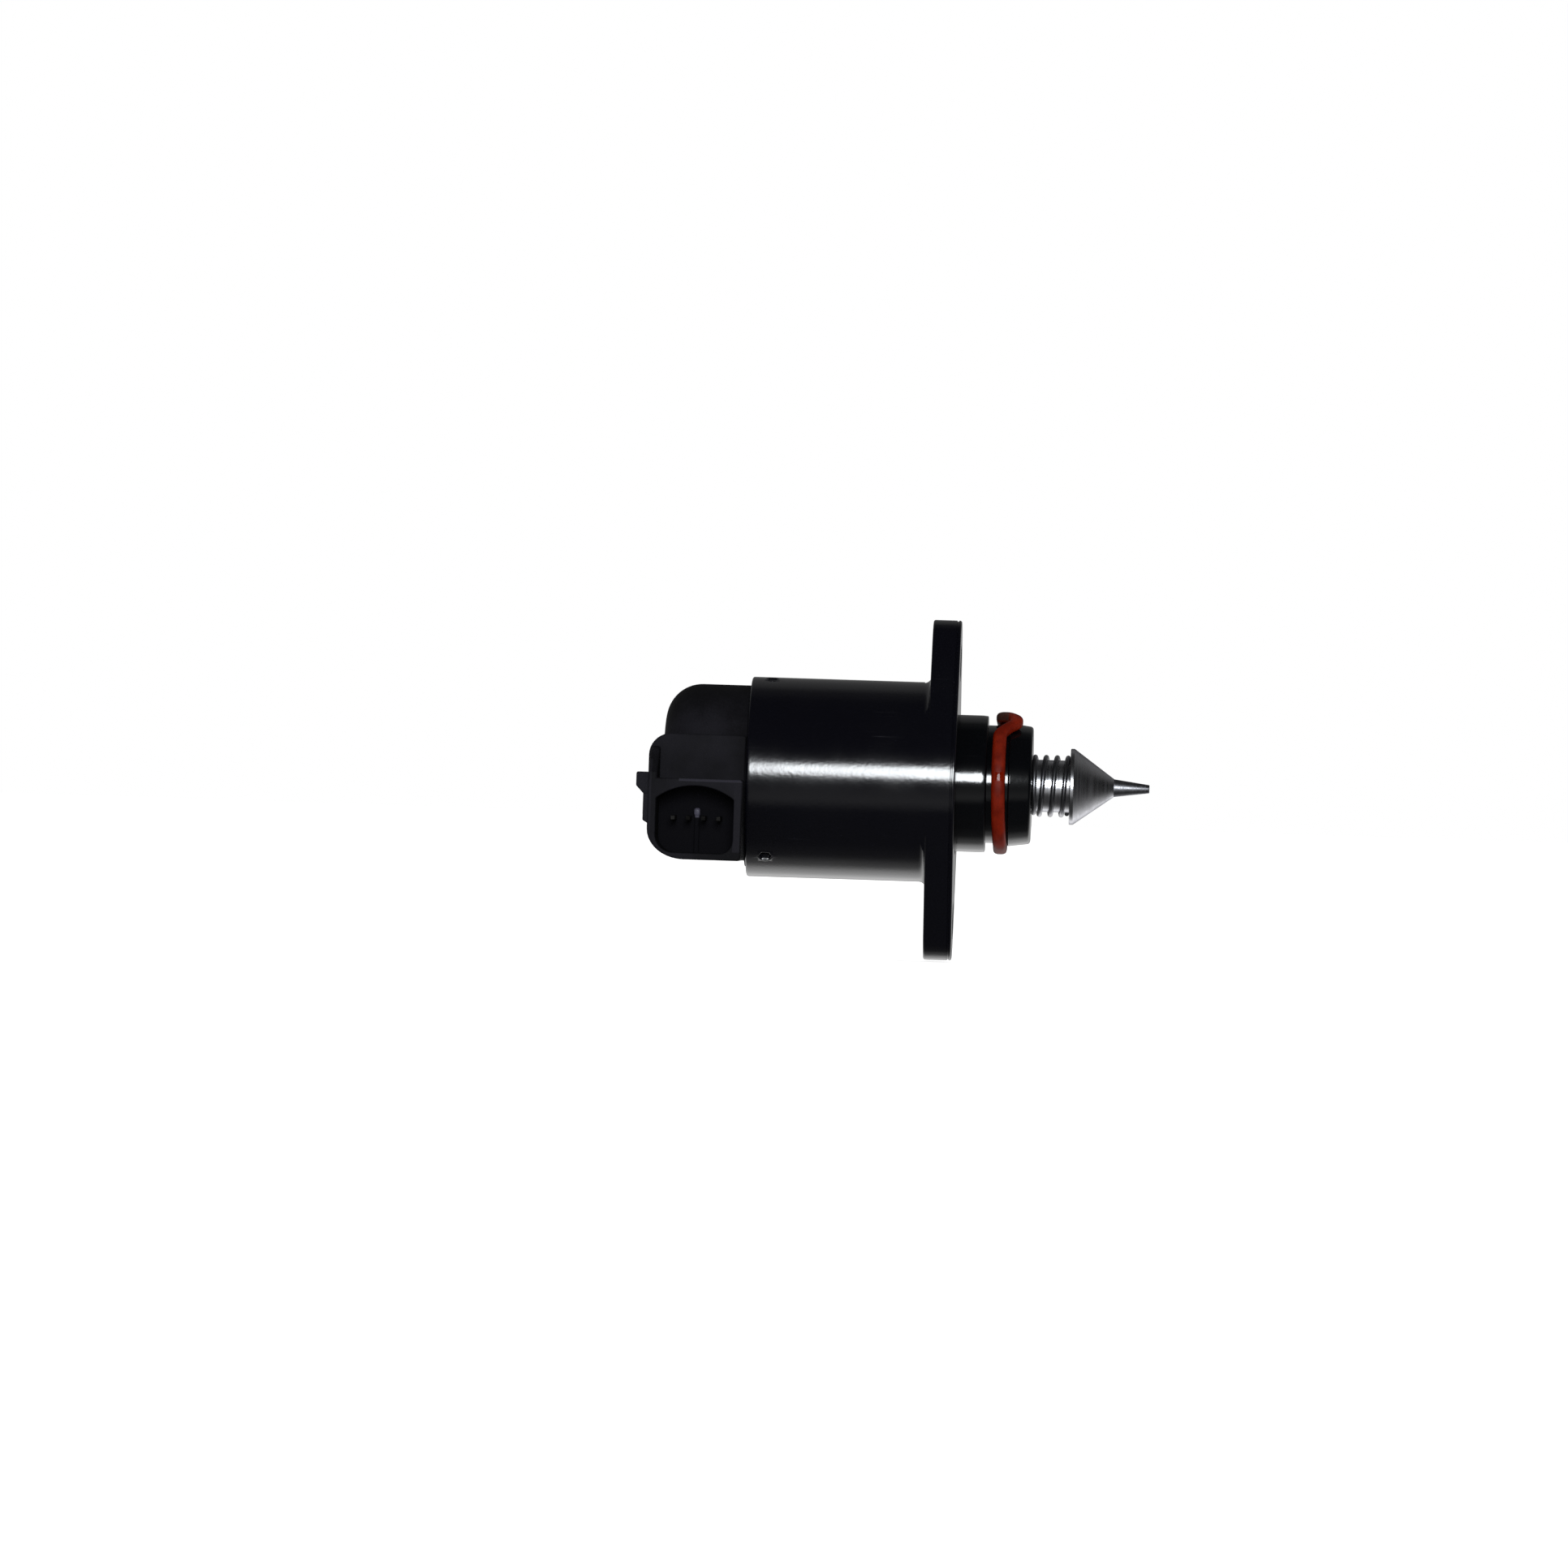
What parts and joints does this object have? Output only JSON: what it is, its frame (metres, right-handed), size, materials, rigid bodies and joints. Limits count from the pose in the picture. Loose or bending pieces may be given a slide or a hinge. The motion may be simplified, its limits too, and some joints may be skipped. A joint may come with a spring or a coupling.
{
  "type": "idle air control valve",
  "caption": "Stepper-driven idle air valve: black can with eared flange, sealed nose, sprung cone pintle with needle tip, and a side-facing socket.",
  "frame": {"origin": "centre of the nose in the plane of the flange's mounting face, on the valve's axis", "axes": "+X along the valve's axis towards the needle tip, Z through both ears, and the connector's mouth faces -Y"},
  "size_m": [0.074, 0.0351, 0.0496],
  "materials": {
    "black_paint": "gloss black",
    "nose_black": "gloss black",
    "black_plastic": "moulded, fine grain",
    "silicone": "dark orange-red silicone",
    "satin_steel": "turned, satin",
    "bright_steel": "ground",
    "spring_steel": "drawn wire",
    "dull_steel": "pressed",
    "magnet": "sintered",
    "white_plastic": "moulded",
    "copper": "enamelled wire",
    "brass": "turned",
    "black_rubber": "moulded",
    "tinned_pin": "tinned, dulled"
  },
  "bodies": {
    "housing": {"can_housing": "black_paint", "nose_housing": "nose_black", "sealing_ring": "silicone", "guide_key": "dull_steel", "wave_washer": "spring_steel", "bearing_outer_race": "bright_steel", "pole_cup_front": "dull_steel", "pole_plate_front": "dull_steel", "bobbin_front": "white_plastic", "winding_front": "copper", "pole_cup_rear": "dull_steel", "pole_plate_rear": "dull_steel", "bobbin_rear": "white_plastic", "winding_rear": "copper", "rear_end_plate": "dull_steel", "rear_bush": "brass", "connector_cap": "black_plastic", "cap_seal": "black_rubber", "terminal_pin_1": "tinned_pin", "terminal_pin_2": "tinned_pin", "terminal_pin_3": "tinned_pin", "terminal_pin_4": "tinned_pin", "pintle_spring": "spring_steel"},
    "rotor": {"rotor_magnet": "magnet", "rotor_hub": "white_plastic", "drive_nut": "brass", "bearing_inner_race": "bright_steel"},
    "ball_set": {"bearing_balls": "bright_steel", "bearing_cage": "brass"},
    "pintle": {"pintle_cone": "satin_steel", "lead_screw": "bright_steel"}
  },
  "joints": [
    {"name": "rotor_spin", "type": "hinge", "parent": "housing", "child": "rotor", "pos_m": [-0.0145, 0, 0], "axis": [1, 0, 0], "range_deg": [-540, 2700]},
    {"name": "ball_orbit", "type": "hinge", "parent": "housing", "child": "ball_set", "pos_m": [-0.00499, 0, 0], "axis": [1, 0, 0], "range_deg": [-224.4, 1120]},
    {"name": "pintle_slide", "type": "slide", "parent": "housing", "child": "pintle", "axis": [1, 0, 0], "range_m": [-0.0015, 0.0075], "deforming": ["pintle_spring"]}
  ],
  "couplings": [
    {"joint": "ball_orbit", "follows": "rotor_spin", "ratio": 0.41463},
    {"joint": "pintle_slide", "follows": "rotor_spin", "m_per_rad": 0.00015915}
  ]
}
